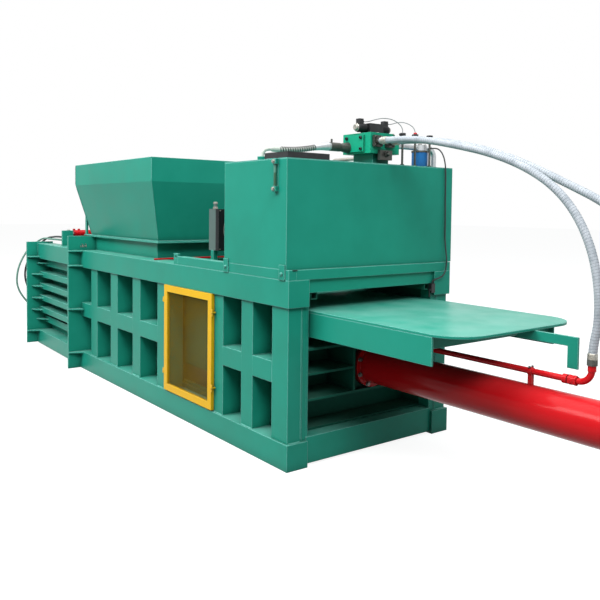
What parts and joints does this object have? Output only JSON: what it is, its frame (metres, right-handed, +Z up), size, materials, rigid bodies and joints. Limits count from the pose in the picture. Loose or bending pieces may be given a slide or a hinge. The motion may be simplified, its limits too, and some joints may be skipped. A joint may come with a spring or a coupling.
{
  "type": "recycling baler",
  "caption": "Horizontal hydraulic baler with a feed hopper, oil tank, guard door, long main cylinder and squeezing outlet panels.",
  "frame": {"origin": "on the ground under the middle of the press body, on the underside of the middle floor joist", "axes": "+X towards the end where the main cylinder stands out, -X towards the bale outlet, -Y towards the side with the guard door, +Z up"},
  "size_m": [7.2233, 1.7674, 2.28],
  "materials": {
    "green_paint": "gloss machine enamel",
    "red_paint": "gloss enamel",
    "yellow_paint": "gloss enamel",
    "blue_paint": "gloss enamel",
    "grey_paint": "satin enamel",
    "black_paint": "satin enamel",
    "valve_green": "gloss enamel",
    "chrome_rod": "hard chrome",
    "bare_steel": "plated steel",
    "silver": "cast and brushed aluminium",
    "cast_grey": "cast iron",
    "black_plastic": "moulded",
    "switch_red": "moulded",
    "clear_tube": "clear",
    "hose_wrap": "spiral plastic wrap over rubber hose",
    "hose_guard": "spiral guard over rubber hose",
    "black_rubber": "smooth rubber"
  },
  "bodies": {
    "frame": {"side_rails": "green_paint", "side_ribs": "green_paint", "side_liners": "green_paint", "end_frame": "green_paint", "floor_plate": "green_paint", "floor_joists": "green_paint", "cross_beams": "green_paint", "joining_flange": "green_paint", "feed_throat": "green_paint", "hopper": "green_paint", "cylinder_seat": "green_paint", "tank_base": "green_paint", "tank_shell": "green_paint", "tank_lid": "green_paint", "pump_bed": "green_paint", "outlet_floor": "green_paint", "outlet_roof": "green_paint", "barrel": "red_paint", "rod_side_pipe": "red_paint", "door_hinges": "yellow_paint", "outlet_hinge_pins": "bare_steel", "level_gauge": "black_plastic", "gauge_tube": "clear_tube", "cable_duct": "black_plastic", "valve_block": "valve_green", "pilot_valves": "black_plastic", "valve_fittings": "bare_steel", "filter_bowl": "blue_paint", "filter_head": "silver", "pressure_switches": "switch_red", "pump_motor": "grey_paint", "pump": "cast_grey", "pump_pipes": "bare_steel", "cooler_core": "silver", "cooler_shroud": "black_paint", "fan_motor": "silver", "limit_switch": "black_plastic", "main_hose": "hose_wrap", "rear_hose": "hose_wrap", "guard_hose": "hose_guard", "switch_cable": "black_rubber"},
    "ram": {"piston_rod": "chrome_rod", "ram_box": "green_paint", "ram_runners": "bare_steel", "cover_plate": "green_paint", "cover_skirts": "green_paint", "trigger_arm": "green_paint"},
    "door": {"door_frame": "yellow_paint", "door_mesh": "yellow_paint"},
    "upper_latch_body": {"upper_latch": "yellow_paint"},
    "lower_latch_body": {"lower_latch": "yellow_paint"},
    "near_panel_body": {"near_panel": "green_paint", "outer_outlet_hose": "black_rubber", "inner_outlet_hose": "black_rubber"},
    "far_panel_body": {"far_panel": "green_paint"},
    "top_barrel_body": {"top_squeeze_barrel": "red_paint"},
    "top_rod_body": {"top_squeeze_rod": "chrome_rod"},
    "low_barrel_body": {"low_squeeze_barrel": "red_paint"},
    "low_rod_body": {"low_squeeze_rod": "chrome_rod"},
    "fan": {"cooler_fan": "black_plastic"}
  },
  "joints": [
    {"name": "ram_slide", "type": "slide", "parent": "frame", "child": "ram", "axis": [-1, 0, 0], "range_m": [0, 1.6]},
    {"name": "door_hinge", "type": "hinge", "parent": "frame", "child": "door", "pos_m": [0.0925, -0.742, 0.6], "axis": [0, 0, -1], "range_deg": [0, 110]},
    {"name": "upper_latch_turn", "type": "hinge", "parent": "frame", "child": "upper_latch_body", "pos_m": [0.8795, -0.755, 0.892], "axis": [0, 1, 0], "range_deg": [0, 90]},
    {"name": "lower_latch_turn", "type": "hinge", "parent": "frame", "child": "lower_latch_body", "pos_m": [0.8795, -0.755, 0.345], "axis": [0, 1, 0], "range_deg": [0, 90]},
    {"name": "near_panel_swing", "type": "hinge", "parent": "frame", "child": "near_panel_body", "pos_m": [-1.8425, -0.655, 0.6], "axis": [0, 0, -1], "range_deg": [-1.6, 1.6]},
    {"name": "far_panel_swing", "type": "hinge", "parent": "frame", "child": "far_panel_body", "pos_m": [-1.8425, 0.655, 0.6], "axis": [0, 0, 1], "range_deg": [-1.6, 1.6]},
    {"name": "top_barrel_turn", "type": "hinge", "parent": "near_panel_body", "child": "top_barrel_body", "pos_m": [-2.68994, -0.5513, 1.331], "axis": [0, 0, 1], "range_deg": [-1.6, 1.6]},
    {"name": "top_rod_slide", "type": "slide", "parent": "top_barrel_body", "child": "top_rod_body", "axis": [0, -1, 0], "range_m": [-0.0475, 0.0475]},
    {"name": "low_barrel_turn", "type": "hinge", "parent": "near_panel_body", "child": "low_barrel_body", "pos_m": [-2.68737, -0.45933, 0.1], "axis": [0, 0, 1], "range_deg": [-1.6, 1.6]},
    {"name": "low_rod_slide", "type": "slide", "parent": "low_barrel_body", "child": "low_rod_body", "axis": [0, -1, 0], "range_m": [-0.0474, 0.0474]},
    {"name": "fan_spin", "type": "hinge", "parent": "frame", "child": "fan", "pos_m": [0.3525, -0.215, 1.469], "axis": [1, 0, 0], "continuous": true}
  ],
  "couplings": [
    {"joint": "far_panel_swing", "follows": "near_panel_swing", "ratio": 1},
    {"joint": "top_barrel_turn", "follows": "near_panel_swing", "ratio": 1},
    {"joint": "top_rod_slide", "follows": "near_panel_swing", "m_per_rad": 1.6949},
    {"joint": "low_barrel_turn", "follows": "near_panel_swing", "ratio": 1},
    {"joint": "low_rod_slide", "follows": "near_panel_swing", "m_per_rad": 1.6897}
  ]
}
